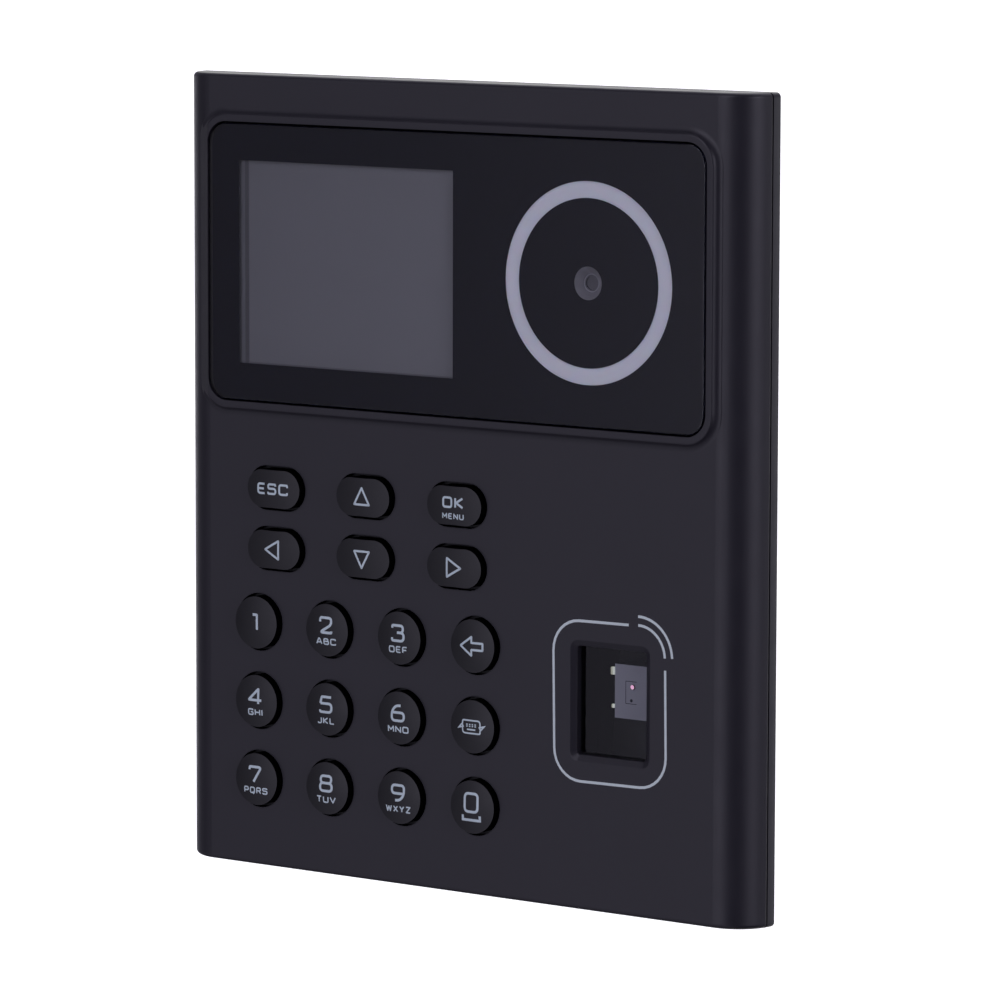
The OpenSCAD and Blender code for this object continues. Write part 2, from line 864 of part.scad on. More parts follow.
module pill_key(i) {
    cap_w = pill_w - 2 * key_gap;
    cap_h = pill_h - 2 * key_gap;
    flange_h = cap_h + 2 * flange_lip;
    color([0.13, 0.13, 0.15]) translate(pill_key_at(i)) {
        intersection() {
            soft_plate(cap_w, cap_h, cap_h / 2, flange_z, face + key_rise - flange_z, cap_edge);
            crown(pill_dome_r);
        }
        plate(cap_w + 2 * flange_lip, flange_h, flange_h / 2, flange_z, flange_t);
        disc(0, 0, dome_top + stem_gap, stem_r, flange_z - dome_top);
    }
}

module dome(at) {
    translate([at[0], at[1], mat_z]) cylinder(r1 = dome_foot_r, r2 = dome_tip_r, h = mat_t + dome_h);
}

module key_mat() {
    color([0.62, 0.63, 0.62]) difference() {
        union() {
            translate([pad_x, pad_y, 0]) plate(pad_w, pad_h, 2, mat_z, mat_t);
            for (i = [0:11]) {
                dome(round_key_at(i));
            }
            for (i = [0:5]) {
                dome(pill_key_at(i));
            }
        }
        for (at = pad_bosses) {
            disc(at[0], at[1], mat_z - slack, boss_r + 2 * hole_gap, mat_t + 2 * slack);
        }
    }
}

module key_board() {
    color([0.05, 0.28, 0.14]) difference() {
        translate([pad_x, pad_y, 0]) plate(pad_w, pad_h, 2, key_board_z, key_board_t);
        for (at = pad_bosses) {
            disc(at[0], at[1], key_board_z - slack, screw_r + hole_gap, key_board_t + 2 * slack);
        }
    }
}

module key_flex() {
    y = pad_y + pad_h / 2 - 2 * flex_leg;
    color([0.72, 0.42, 0.12]) {
        flex_strip(pad_x, y, key_flex_w, board_top, key_board_z, -flex_leg, flex_leg);
    }
}

// ---- Fingerprint reader ----

module reader_window() {
    color([0.18, 0.19, 0.22, 0.6]) translate([reader_x, reader_y, 0]) {
        plate(reader_glass_w, reader_glass_h, 1, reader_glass_z, reader_glass_t);
    }
}

module reader_housing() {
    top = reader_glass_z;
    root = 0.2;
    color([0.07, 0.07, 0.08]) translate([reader_x, reader_y, 0]) difference() {
        union() {
            plate(reader_w, reader_h, 1.2, reader_back, top - reader_back);
            for (y = [-1, 1]) {
                block(0, y * (reader_h / 2 + ear_reach / 2 - root), top - ear_t, ear_w, ear_reach, ear_t);
            }
        }
        plate(reader_w - 2 * reader_wall, reader_h - 2 * reader_wall, root, reader_back + 1, top);
        for (y = [-1, 1]) {
            disc(0, y * ear_y, top - ear_t - slack, screw_r + hole_gap, ear_t + 2 * slack);
        }
    }
}

// A wedge of clear plastic that carries the picture of the finger down to the sensor.
module reader_prism() {
    half = opening_h / 2 - 2 * hole_gap;
    top = reader_glass_z - slack;
    color([0.5, 0.55, 0.6, 0.35]) translate([reader_x - opening_w / 2 + hole_gap, reader_y, 0]) {
        rotate([90, 0, 90]) linear_extrude(prism_w) {
            polygon([[-half, top - 1], [-half, top], [half, top], [half, top - prism_drop]]);
        }
    }
}

// The sensor's face plate, with its lamp, in the right half of the housing.
module reader_lamp() {
    color([0.55, 0.55, 0.58]) {
        block(sensor_x, sensor_y, reader_back + 1, sensor_w, sensor_h, sensor_t);
        disc(lamp_x, lamp_y, reader_back + 1 + sensor_t, lamp_r, lamp_t);
    }
}

module reader_board() {
    color([0.05, 0.28, 0.14]) translate([reader_x, reader_y, 0]) {
        plate(reader_w, reader_h, 1, reader_back - reader_board_t, reader_board_t);
    }
}

module reader_flex() {
    y = reader_y + reader_h / 2 + 3.4;
    low = reader_back - reader_board_t - flex_t;
    color([0.72, 0.42, 0.12]) flex_strip(reader_x, y, reader_flex_w, low, board_z, -1.5 * flex_leg, flex_leg);
}

// ---- Electronics ----

module main_board() {
    color([0.04, 0.24, 0.12]) difference() {
        union() {
            translate([0, 21, 0]) plate(101, 79, 2, board_z, board_t);
            translate([-15.5, -30, 0]) plate(70, 66, 2, board_z, board_t);
        }
        for (at = board_posts) {
            disc(at[0], at[1], board_z - slack, screw_r + hole_gap, board_t + 2 * slack);
        }
    }
}

module processor_can() {
    inner = can_size - 2 * can_skin;
    color([0.74, 0.75, 0.77]) difference() {
        block(can_x, can_y, board_z - can_h, can_size, can_size, can_h);
        block(can_x, can_y, board_z - can_h + can_skin, inner, inner, can_h);
    }
}

module cell_holder() {
    color([0.12, 0.12, 0.12]) difference() {
        block(cell_x, cell_y, board_z - cell_h, 2.4 * cell_r, 2.2 * cell_r, cell_h);
        disc(cell_x, cell_y, board_z - cell_h - slack, cell_r + hole_gap, cell_t + 3 * slack);
    }
}

module clock_cell() {
    color([0.78, 0.78, 0.76]) disc(cell_x, cell_y, board_z - cell_h, cell_r, cell_t);
}

module sounder() {
    color([0.10, 0.10, 0.10]) difference() {
        disc(sounder_x, sounder_y, board_z - sounder_h, sounder_r, sounder_h);
        disc(sounder_x, sounder_y, board_z - sounder_h - slack, sounder_port_r, sounder_h / 4);
    }
}

module header(x, pins) {
    w = (pins + 1) * pin_pitch;
    inner = header_d - 2 * header_wall;
    color([0.88, 0.87, 0.80]) difference() {
        block(x, header_y, header_low, w, header_d, board_z - header_low);
        translate([0, 0, -header_floor]) {
            block(x, header_y, header_low, w - 2 * header_wall, inner, board_z - header_low);
        }
    }
}

module pin_row(x, pins) {
    low = header_low + 1;
    for (i = [0:pins - 1]) {
        translate([x + (i - (pins - 1) / 2) * pin_pitch, 0, 0]) {
            block(0, header_y, low, pin_size, pin_size, board_z - header_floor - low);
        }
    }
}

module network_header() {
    header(network_x, network_pins);
}

module power_header() {
    header(power_x, power_pins);
}

module header_pins() {
    color([0.80, 0.66, 0.30]) {
        pin_row(network_x, network_pins);
        pin_row(power_x, power_pins);
    }
}

// ---- Tamper switch ----

module tamper_switch() {
    tip = house_floor + plunger_head + plunger_travel;
    button_r = 0.9;
    color([0.15, 0.15, 0.15]) {
        block(tamper_x, tamper_y, board_z - switch_h, switch_size, switch_size, switch_h);
        disc(tamper_x, tamper_y, tip + slack, button_r, board_z - switch_h - tip);
    }
}

module tamper_plunger() {
    color([0.85, 0.83, 0.78]) {
        disc(tamper_x, tamper_y, -plunger_reach, plunger_r, house_floor + plunger_head + plunger_reach);
        disc(tamper_x, tamper_y, house_floor + slack, plunger_flange_r, plunger_flange_t);
    }
}

module tamper_spring() {
    low = house_floor + slack + plunger_flange_t + stem_gap;
    rise = board_z - low - stem_gap;
    outer = plunger_flange_r - slack;
    color([0.75, 0.76, 0.78]) translate([tamper_x, tamper_y, low]) {
        linear_extrude(rise, twist = -360 * spring_turns, slices = 12 * spring_turns, $fn = 12) difference() {
            polygon([[0, 0], [2 * outer, 0], [2 * outer, 3 * outer], [-outer, 2 * outer]]);
            difference() {
                square(6 * outer, center = true);
                circle(outer, $fn = 12);
            }
            circle(outer - spring_wire, $fn = 12);
        }
    }
}

// ---- Fasteners and mounting ----

module shell_screws() {
    grip = shell_screw_r - thread_gap;
    color([0.25, 0.25, 0.27]) for (x = [-1, 1], y = shell_screw_ys) {
        translate([x * shell_screw_x, y, 0]) screw(lip_back, grip, shell_screw_l, shell_head_r, shell_head_t);
    }
}

// A small screw at a place on the case, pointing out from the wall.
module small_screw(at, z, length) {
    translate([at[0], at[1], 0]) screw(z, screw_r - thread_gap, length, small_head_r, small_head_t);
}

module inner_screws() {
    color([0.70, 0.71, 0.73]) {
        for (x = [-1, 1], y = [-1, 1]) {
            small_screw([x * bracket_dx / 2, panel_y + y * bracket_dy / 2], bracket_z, 3);
        }
        for (at = pad_bosses) {
            small_screw(at, key_board_z, 3.6);
        }
        for (y = [-1, 1]) {
            small_screw([reader_x, reader_y + y * ear_y], reader_glass_z - ear_t, 2.6);
        }
        translate([0, 0, 2 * board_top]) mirror([0, 0, 1]) {
            for (at = board_posts) {
                small_screw(at, board_top, 5);
            }
        }
    }
}

module lock_screw() {
    color([0.70, 0.71, 0.73]) translate([0, -house_h / 2 + lock_sink, lock_z]) rotate([-90, 0, 0]) {
        screw(0, lock_r - thread_gap, lock_l, lock_head_r, lock_head_t);
    }
}

// A steel plate with four hooks that reach through the back of the case. The case drops onto them,
// and a bent tab at the bottom takes the locking screw.
module mounting_plate() {
    color([0.72, 0.73, 0.74]) {
        difference() {
            plate(plate_w, plate_h, 4, 0, plate_t);
            wall_screw_places(-slack, plate_t + 2 * slack, wall_hole_r, box_slot_w / 2);
            block(bay_x, header_y, -slack, bay_w + 4, bay_h + 4, plate_t + 2 * slack);
            disc(tamper_x, tamper_y, -slack, plunger_r + 3 * hole_gap, plate_t + 2 * slack);
        }
        at_corners(hook_dx, hook_dy) {
            block(0, hook_y + hook_t / 2, plate_t, hook_w, hook_t, hook_z + hook_top - plate_t);
            block(0, hook_y + hook_lip / 2, hook_z, hook_w, hook_lip, hook_top);
        }
        difference() {
            block(0, tab_y, plate_t, tab_w, tab_t, tab_top - plate_t);
            translate([0, tab_y - tab_t, lock_z]) rotate([-90, 0, 0]) cylinder(r = lock_r, h = 2 * tab_t);
        }
    }
}

// ---- Assembly ----

stand() front_shell();
stand() rear_shell();
stand() cover_glass();
stand() glass_print();
stand() glass_tape();
stand() lcd_frame();
stand() lcd_panel();
stand() lcd_backlight();
stand() lcd_flex();
stand() display_bracket();
stand() light_ring();
stand() ring_board();
stand() ring_leds();
stand() camera_holder();
stand() camera_lens();
stand() camera_board();
stand() camera_flex();
stand() key_mat();
stand() key_board();
stand() key_flex();
stand() reader_window();
stand() reader_housing();
stand() reader_prism();
stand() reader_lamp();
stand() reader_board();
stand() reader_flex();
stand() main_board();
stand() processor_can();
stand() cell_holder();
stand() clock_cell();
stand() sounder();
stand() network_header();
stand() power_header();
stand() header_pins();
stand() tamper_switch();
stand() tamper_plunger();
stand() tamper_spring();
stand() shell_screws();
stand() inner_screws();
stand() lock_screw();
stand() mounting_plate();
for (i = [0:11]) {
    stand() round_key(i);
}
for (i = [0:5]) {
    stand() pill_key(i);
}
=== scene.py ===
# Looks of the fingerprint scanner terminal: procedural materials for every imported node, the printed
# legends and lines, the screen's and the reader's small details, the lights and the camera.
import json
import math

import bmesh
import bpy
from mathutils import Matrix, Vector
from mathutils.bvhtree import BVHTree


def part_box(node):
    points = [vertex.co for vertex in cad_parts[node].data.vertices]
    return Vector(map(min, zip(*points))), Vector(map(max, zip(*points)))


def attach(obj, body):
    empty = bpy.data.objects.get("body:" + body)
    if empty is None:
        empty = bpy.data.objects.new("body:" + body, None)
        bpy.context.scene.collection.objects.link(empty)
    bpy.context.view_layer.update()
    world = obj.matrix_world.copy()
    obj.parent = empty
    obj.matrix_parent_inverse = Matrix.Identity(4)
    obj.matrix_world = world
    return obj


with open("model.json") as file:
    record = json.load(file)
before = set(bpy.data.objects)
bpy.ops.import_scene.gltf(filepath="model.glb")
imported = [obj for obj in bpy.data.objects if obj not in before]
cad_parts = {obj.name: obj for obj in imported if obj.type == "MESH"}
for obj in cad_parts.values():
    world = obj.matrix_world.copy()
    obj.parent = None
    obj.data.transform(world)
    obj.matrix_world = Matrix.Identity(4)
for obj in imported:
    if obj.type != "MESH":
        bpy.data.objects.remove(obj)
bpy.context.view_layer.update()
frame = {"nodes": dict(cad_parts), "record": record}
nodes = frame["nodes"]

MM = 0.001
PROUD = 0.012  # mm that printed ink stands above its surface
LAYER = 0.002  # mm between strokes that cross, so that no two faces lie in one plane
TINY = 0.001  # mm below which two points of a path count as one
STEP = 0.6  # mm between the points of a printed line, so that it can follow a dome


# ---- Shader building blocks ----


class Shader:
    """A new material and short calls for building its nodes."""

    def __init__(self, name):
        self.material = bpy.data.materials.new(name)
        self.material.use_nodes = True
        self.tree = self.material.node_tree
        self.tree.nodes.clear()
        self.place = self.add("TexCoord").outputs["Object"]

    def add(self, kind, inputs=None, **settings):
        """A new node. An input is given a value, or a link where it is given another node's socket."""
        node = self.tree.nodes.new("ShaderNode" + kind)
        for key, value in settings.items():
            setattr(node, key, value)
        for key, value in (inputs or {}).items():
            if isinstance(value, bpy.types.NodeSocket):
                self.tree.links.new(value, node.inputs[key])
            else:
                node.inputs[key].default_value = value
        return node

    def math(self, operation, a, b=0.0, c=0.0):
        return self.add("Math", {0: a, 1: b, 2: c}, operation=operation).outputs[0]

    def noise(self, size_mm, detail=3.0, rough=0.5, stretch=(1, 1, 1), seed=0.0):
        """Noise from 0 to 1 with lumps of about size_mm. stretch draws the lumps out along an axis."""
        scale = [1 / s for s in stretch]
        moved = {"Vector": self.place, "Scale": scale, "Location": (seed, seed, seed)}
        mapped = self.add("Mapping", moved).outputs[0]
        values = {"Vector": mapped, "Scale": 1 / (size_mm * MM), "Detail": detail, "Roughness": rough}
        return self.add("TexNoise", values).outputs["Fac"]

    def spread(self, value, low, high, start=0.3, end=0.7):
        """Carries a value from start..end to low..high."""
        names = {"Value": value, "From Min": start, "From Max": end, "To Min": low, "To Max": high}
        return self.add("MapRange", names, clamp=True).outputs["Result"]

    def blend(self, factor, a, b):
        """A colour between a and b."""
        node = self.add("Mix", data_type="RGBA", blend_type="MIX")
        for socket, value in ((node.inputs["Factor"], factor), (node.inputs["A"], a), (node.inputs["B"], b)):
            if isinstance(value, bpy.types.NodeSocket):
                self.tree.links.new(value, socket)
            elif socket.type == "RGBA":
                socket.default_value = (*value[:3], 1)
            else:
                socket.default_value = value
        return next(o for o in node.outputs if o.type == "RGBA")

    def shade(self, factor, colour, low, high):
        """A colour that varies in brightness from low to high times itself."""
        return self.blend(factor, [c * low for c in colour], [c * high for c in colour])

    def bump(self, height, depth_mm, below=None):
        """A normal from a height. below is a normal that it is laid over."""
        values = {"Height": height, "Distance": depth_mm * MM}
        if below is not None:
            values["Normal"] = below
        return self.add("Bump", values).outputs["Normal"]

    def edges(self, radius_mm):
        """From 0 on flat faces to 1 along sharp outer edges and corners."""
        soft = self.add("Bevel", {"Radius": radius_mm * MM}, samples=4).outputs["Normal"]
        hard = self.add("NewGeometry").outputs["Normal"]
        dot = self.add("VectorMath", {0: soft, 1: hard}, operation="DOT_PRODUCT").outputs["Value"]
        return self.spread(dot, 1.0, 0.0, 0.75, 0.99)

    def principled(self, **inputs):
        """The standard surface, with its inputs' names written with underscores."""
        names = {key.replace("_", " "): value for key, value in inputs.items()}
        return self.add("BsdfPrincipled", names).outputs["BSDF"]

    def finish(self, surface):
        out = self.add("OutputMaterial", {"Surface": surface})
        out.is_active_output = True
        return self.material


# ---- Materials ----

EDGE_HIGHLIGHT = (0.05, 0.05, 0.058)  # painted highlight: a lighter colour laid along the plastic's edges
PAINTED_GAP_SHADE = (0.001, 0.001, 0.0012)  # painted shade: near black laid on plastic in narrow gaps
BLACKED = (0.003, 0.003, 0.003, 1)  # a glass's ground edge


def hole_wall_shade_mask(s):
    """Where painted shade goes: 1 on the case's walls below its front face, in the key holes and the glass's
    pocket.

    The finger's recess and the case's outer sides are left out. Places are in mm."""
    x, y, z = s.add("SeparateXYZ", {0: s.place}).outputs
    below = s.math("COMPARE", y, -20.0 * MM, 2.75 * MM)
    middle = s.math("MULTIPLY", s.math("COMPARE", x, 0.0, 57 * MM), s.math("COMPARE", z, 0.0, 72 * MM))
    recess_x = s.math("COMPARE", x, 35 * MM, 12 * MM)
    recess_z = s.math("COMPARE", z, -36 * MM, 15 * MM)
    elsewhere = s.math("SUBTRACT", 1.0, s.math("MULTIPLY", recess_x, recess_z))
    return s.math("MULTIPLY", s.math("MULTIPLY", below, middle), elsewhere)


def cap_wall_shade_mask(s):
    """Where painted shade goes: 0 on a key's face, rising to 1 where its edge has turned sideways."""
    facing = s.add("SeparateXYZ", {0: s.add("NewGeometry").outputs["Normal"]}).outputs["Y"]
    return s.spread(s.math("ABSOLUTE", facing), 1.0, 0.0, 0.25, 0.8)


def moulded_plastic(name, colour, rough, grain_mm=0.22, depth_mm=0.004, polish_and_edge_highlight=True, soft_mm=0.0, painted_shade=None):
    """Matt moulded plastic: a fine spark-eroded grain, slight tone drift, and edges polished smoother, with a
    painted highlight that lightens them.

    soft_mm is how far the light sees edges rounded. The last argument gives the places, such as the walls of
    narrow gaps, that hardly any light reaches; they get painted shade, near black with their reflection
    turned down."""
    s = Shader(name)
    grain = s.noise(grain_mm, 2.0, 0.6)
    drift = s.noise(14, 3.0, 0.5)
    smear = s.noise(5, 4.0, 0.6, seed=0.31)
    colour = s.shade(drift, colour, 0.93, 1.07)
    level = s.spread(smear, rough - 0.025, rough + 0.035)
    level = s.math("ADD", level, s.spread(grain, -0.03, 0.03))
    if polish_and_edge_highlight:
        edge = s.edges(0.25)
        level = s.math("SUBTRACT", level, s.math("MULTIPLY", edge, 0.1))
        # painted highlight: the colour along the edges is made lighter
        colour = s.blend(s.math("MULTIPLY", edge, 0.25), colour, EDGE_HIGHLIGHT)
    rounded = s.add("Bevel", {"Radius": soft_mm * MM}, samples=4).outputs["Normal"] if soft_mm else None
    normal = s.bump(grain, depth_mm, below=rounded)
    gloss = 0.5
    if painted_shade is not None:
        # painted shade: the masked places are made near black and lose most of their reflection
        shaded = painted_shade(s)
        colour = s.blend(shaded, colour, PAINTED_GAP_SHADE)
        gloss = s.math("MULTIPLY", s.math("SUBTRACT", 1.0, shaded), gloss)
    return s.finish(s.principled(Base_Color=colour, Roughness=level, Normal=normal, IOR=1.48,
        Specular_IOR_Level=gloss))


def ink(name, colour, rough=0.45, gloss=0.5):
    """Screen printed ink: nearly even, with a faint mesh of thin spots."""
    s = Shader(name)
    mesh = s.noise(0.12, 1.0)
    colour = s.shade(mesh, colour, 0.94, 1.05)
    level = s.spread(s.noise(0.6, 2.0), rough - 0.04, rough + 0.06)
    return s.finish(s.principled(Base_Color=colour, Roughness=level, Normal=s.bump(mesh, 0.003),
        Specular_IOR_Level=gloss))


def clear_pane(name, tint, back_y):
    """Clear glass. Lamps reach what lies behind it through the tint, unbent.

    The face at back_y, in mm, is bonded to what lies behind it and doesn't reflect, and the ground
    edges all round are blackened."""
    s = Shader(name)
    wave = s.noise(11, 1.0)
    glass = s.add("BsdfGlass", {"Color": (*tint, 1), "Roughness": 0.0, "IOR": 1.5,
        "Normal": s.bump(wave, 0.0004)}).outputs[0]
    clear = s.add("BsdfTransparent", {"Color": (*tint, 1)}).outputs[0]
    lamp = s.add("LightPath").outputs["Is Shadow Ray"]
    surface = s.add("MixShader", {0: lamp, 1: glass, 2: clear}).outputs[0]
    depth = s.add("SeparateXYZ", {0: s.place}).outputs["Y"]
    back = s.math("GREATER_THAN", depth, (back_y - 0.03) * MM)
    surface = s.add("MixShader", {0: back, 1: surface, 2: clear}).outputs[0]
    facing = s.add("SeparateXYZ", {0: s.add("NewGeometry").outputs["Normal"]}).outputs["Y"]
    side = s.math("LESS_THAN", s.math("ABSOLUTE", facing), 0.3)
    black = s.principled(Base_Color=BLACKED, Roughness=0.6)
    return s.finish(s.add("MixShader", {0: side, 1: surface, 2: black}).outputs[0])


def potted(name, tint):
    """A clear block cemented to what is in front of it: it only tints what lies behind."""
    s = Shader(name)
    cloud = s.noise(6, 2.0)
    colour = s.shade(cloud, tint, 0.96, 1.04)
    return s.finish(s.add("BsdfTransparent", {"Color": colour}).outputs[0])


def metal(name, colour, rough, brush=(12, 1, 1)):
    """Plated or brushed steel with fine lines, drawn out by brush along each axis."""
    s = Shader(name)
    lines = s.noise(0.15, 2.0, 0.6, stretch=brush)
    spots = s.noise(3.5, 3.0)
    level = s.math("ADD", s.spread(lines, rough - 0.06, rough + 0.06), s.spread(spots, -0.04, 0.05))
    colour = s.shade(spots, colour, 0.9, 1.05)
    return s.finish(s.principled(Base_Color=colour, Metallic=1.0, Roughness=level,
        Normal=s.bump(lines, 0.002)))


def soft_rubber(name, colour):
    """Dull rubber or foam with a fine skin."""
    s = Shader(name)
    grain = s.noise(0.35, 3.0, 0.6)
    colour = s.shade(s.noise(6, 2.0), colour, 0.92, 1.06)
    return s.finish(s.principled(Base_Color=colour, Roughness=s.spread(grain, 0.55, 0.68),
        Normal=s.bump(grain, 0.01)))


def milky_plastic(name, colour):
    """The light guide: white plastic that scatters light inside."""
    s = Shader(name)
    cloud = s.noise(4, 2.0)
    colour = s.shade(cloud, colour, 0.97, 1.03)
    return s.finish(s.principled(Base_Color=colour, Roughness=s.spread(cloud, 0.3, 0.42),
        Normal=s.bump(s.noise(0.3, 2.0), 0.002), Subsurface_Weight=0.4, Subsurface_Scale=0.0015))


def solder_resist(name):
    """A circuit board's green lacquer over copper tracks that show as slightly lighter lines."""
    s = Shader(name)
    cells = s.add("TexVoronoi", {"Vector": s.place, "Scale": 1 / (1.6 * MM)}, feature="DISTANCE_TO_EDGE",
        distance="MANHATTAN")
    track = s.spread(cells.outputs["Distance"], 1.0, 0.0, 0.06, 0.12)
    colour = s.blend(track, (0.008, 0.085, 0.035), (0.02, 0.16, 0.06))
    level = s.spread(s.noise(2, 2.0), 0.28, 0.38)
    return s.finish(s.principled(Base_Color=colour, Roughness=level, Normal=s.bump(track, 0.02)))


def amber_film(name):
    """Polyimide film with copper tracks along it."""
    s = Shader(name)
    wave = s.add("TexWave", {"Vector": s.place, "Scale": 1 / (5 * MM)}, bands_direction="X")
    lines = s.spread(wave.outputs["Fac"], 0.0, 1.0, 0.35, 0.65)
    colour = s.blend(lines, (0.42, 0.16, 0.02), (0.62, 0.3, 0.07))
    return s.finish(s.principled(Base_Color=colour, Roughness=s.spread(s.noise(1, 2.0), 0.25, 0.4),
        Normal=s.bump(lines, 0.01)))


def screen_cell(name, colour):
    """An unlit liquid crystal screen: grey, with a faint polariser haze and painted light that lightens it
    towards its right.
    """
    s = Shader(name)
    haze = s.noise(18, 2.0)
    across = s.add("SeparateXYZ", {0: s.place}).outputs["X"]
    # painted light: lighter from the screen's left edge towards its right
    painted_light_ramp = s.spread(across, 0.0, 1.0, -50 * MM, -0.5 * MM)
    colour = s.shade(s.math("ADD", s.math("MULTIPLY", haze, 0.3), painted_light_ramp), colour, 0.93, 1.10)
    return s.finish(s.principled(Base_Color=colour, Roughness=s.spread(s.noise(0.2, 2.0), 0.3, 0.36),
        Normal=s.bump(s.noise(0.1, 1.0), 0.0005)))


def camera_lens(name, centre):
    """The camera's pale hood round a darker lens, by the distance from its axis."""
    s = Shader(name)
    x, _, z = s.add("SeparateXYZ", {0: s.place}).outputs
    off_x = s.math("SUBTRACT", x, centre[0] * MM)
    off_z = s.math("SUBTRACT", z, centre[1] * MM)
    squares = s.math("ADD", s.math("MULTIPLY", off_x, off_x), s.math("MULTIPLY", off_z, off_z))
    radius = s.math("SQRT", squares)
    rim = s.math("COMPARE", radius, 1.62 * MM, 0.12 * MM)
    hood = s.spread(radius, 0.0, 1.0, 1.74 * MM, 1.8 * MM)
    colour = s.blend(rim, (0.10, 0.10, 0.12), (0.3, 0.3, 0.33))
    colour = s.blend(hood, colour, (0.30, 0.30, 0.32))
    level = s.spread(s.noise(0.5, 2.0), 0.28, 0.36)
    return s.finish(s.principled(Base_Color=colour, Roughness=level,
        Normal=s.bump(s.noise(0.15, 2.0), 0.001)))


def glowing(name, colour, strength):
    """A small lamp behind a clear lens."""
    s = Shader(name)
    level = s.spread(s.noise(0.3, 2.0), strength * 0.85, strength)
    return s.finish(s.principled(Base_Color=(0.8, 0.5, 0.55, 1), Roughness=0.3, Emission_Color=(*colour, 1),
        Emission_Strength=level))


CASE_BLACK = (0.0180, 0.0168, 0.0235)
INNER_BLACK = (0.012, 0.012, 0.013)
MATERIALS = {
    # painted shade on the walls of the key holes and the glass's pocket
    "shell": moulded_plastic("shell", CASE_BLACK, 0.40, soft_mm=0.25, painted_shade=hole_wall_shade_mask),
    "rear_shell": moulded_plastic("rear_shell", CASE_BLACK, 0.44),
    "cover_glass": clear_pane("cover_glass", (0.95, 0.952, 0.957), back_y=-22.4),
    "glass_print": ink("glass_print", (0.003, 0.0035, 0.010), 0.5, 0.0),
    "tape": soft_rubber("tape", (0.01, 0.01, 0.011)),
    "steel": metal("steel", (0.56, 0.57, 0.59), 0.3),
    "screen": screen_cell("screen", (0.172, 0.176, 0.186)),
    "backlight": milky_plastic("backlight", (0.8, 0.8, 0.78)),
    "flex": amber_film("flex"),
    "bracket": moulded_plastic("bracket", (0.03, 0.03, 0.032), 0.5, polish_and_edge_highlight=False),
    "diffuser": milky_plastic("diffuser", (0.82, 0.84, 0.88)),
    "circuit_board": solder_resist("circuit_board"),
    "led": milky_plastic("led", (0.85, 0.8, 0.45)),
    "camera_black": moulded_plastic("camera_black", INNER_BLACK, 0.45, polish_and_edge_highlight=False),
    "lens": camera_lens("lens", (29.9, 39.8)),
    # painted shade on the key's sideways edges
    "key": moulded_plastic("key", (0.0060, 0.0058, 0.0078), 0.40, 0.18, 0.003, painted_shade=cap_wall_shade_mask),
    "key_mat": soft_rubber("key_mat", (0.35, 0.36, 0.35)),
    "reader_glass": clear_pane("reader_glass", (0.85, 0.86, 0.89), back_y=-19.8),
    "reader_black": moulded_plastic("reader_black", INNER_BLACK, 0.5, polish_and_edge_highlight=False),
    "prism": potted("prism", (0.68, 0.66, 0.58)),
    # painted shade on the plate's sideways edges
    "sensor_plate": moulded_plastic("sensor_plate", (0.70, 0.69, 0.68), 0.45, polish_and_edge_highlight=False, painted_shade=cap_wall_shade_mask),
    "cell": metal("cell", (0.6, 0.6, 0.58), 0.25, (1, 1, 1)),
    "header": moulded_plastic("header", (0.72, 0.70, 0.60), 0.4, polish_and_edge_highlight=False),
    "pins": metal("pins", (0.75, 0.55, 0.2), 0.25),
    "plunger": moulded_plastic("plunger", (0.68, 0.66, 0.60), 0.38, polish_and_edge_highlight=False),
    "black_screw": metal("black_screw", (0.05, 0.05, 0.052), 0.35, (1, 1, 1)),
    "zinc_steel": metal("zinc_steel", (0.58, 0.59, 0.60), 0.32, (1, 1, 14)),
}
LEGEND_INK = ink("legend_ink", (0.68, 0.80, 0.83))
LINE_INK = ink("line_ink", (0.76, 0.86, 0.85))
CHIP_LINE = ink("chip_line", (0.03, 0.03, 0.035))
SCREEN_EDGE = ink("screen_edge", (0.115, 0.12, 0.13))
SCREEN_LINE = ink("screen_line", (0.068, 0.068, 0.076))
LED_WHITE = glowing("led_white", (0.9, 1.0, 0.86), 0.55)
LAMP_GLOW = glowing("lamp_glow", (1.0, 0.5, 0.72), 1.0)


def dress_nodes():
    """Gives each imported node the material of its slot."""
    for part in frame["record"]["subparts"]:
        for slot in nodes[part["node"]].material_slots:
            slot.material = MATERIALS[part["material_slot"]]


# ---- Flat printed strokes ----
# Strokes are drawn in the front view: x to the right, z up. Each becomes a thin raised ribbon.


def arc(centre, radius, start, end, steps=8):
    """Points on an arc, with angles in degrees from +x towards +z."""
    angles = [math.radians(start + (end - start) * i / steps) for i in range(steps + 1)]
    return [(centre[0] + radius * math.cos(a), centre[1] + radius * math.sin(a)) for a in angles]


def soften(points, radius, closed=False):
    """Rounds the corners of a path."""
    steps = 5
    count = len(points)
    out = []
    for i, (x, z) in enumerate(points):
        if not closed and i in (0, count - 1):
            out.append((x, z))
            continue
        here = Vector((x, z))
        back = Vector(points[i - 1]) - here
        ahead = Vector(points[(i + 1) % count]) - here
        cut = min(radius, back.length / 2, ahead.length / 2)
        a, b = here + back.normalized() * cut, here + ahead.normalized() * cut
        for k in range(steps + 1):
            t = k / steps
            p = a * (1 - t) ** 2 + here * (2 * t * (1 - t)) + b * t * t
            out.append((p.x, p.y))
    return out


def divided(points, closed):
    """The path with doubled points left out and long straight runs cut into short ones."""
    points = [p for i, p in enumerate(points) if i == 0 or math.dist(p, points[i - 1]) > TINY]
    out = []
    for i, here in enumerate(points):
        out.append(here)
        if not closed and i == len(points) - 1:
            break
        ahead = points[(i + 1) % len(points)]
        cuts = math.ceil(math.dist(here, ahead) / STEP)
        for k in range(1, cuts):
            out.append((here[0] + (ahead[0] - here[0]) * k / cuts, here[1] + (ahead[1] - here[1]) * k / cuts))
    return out


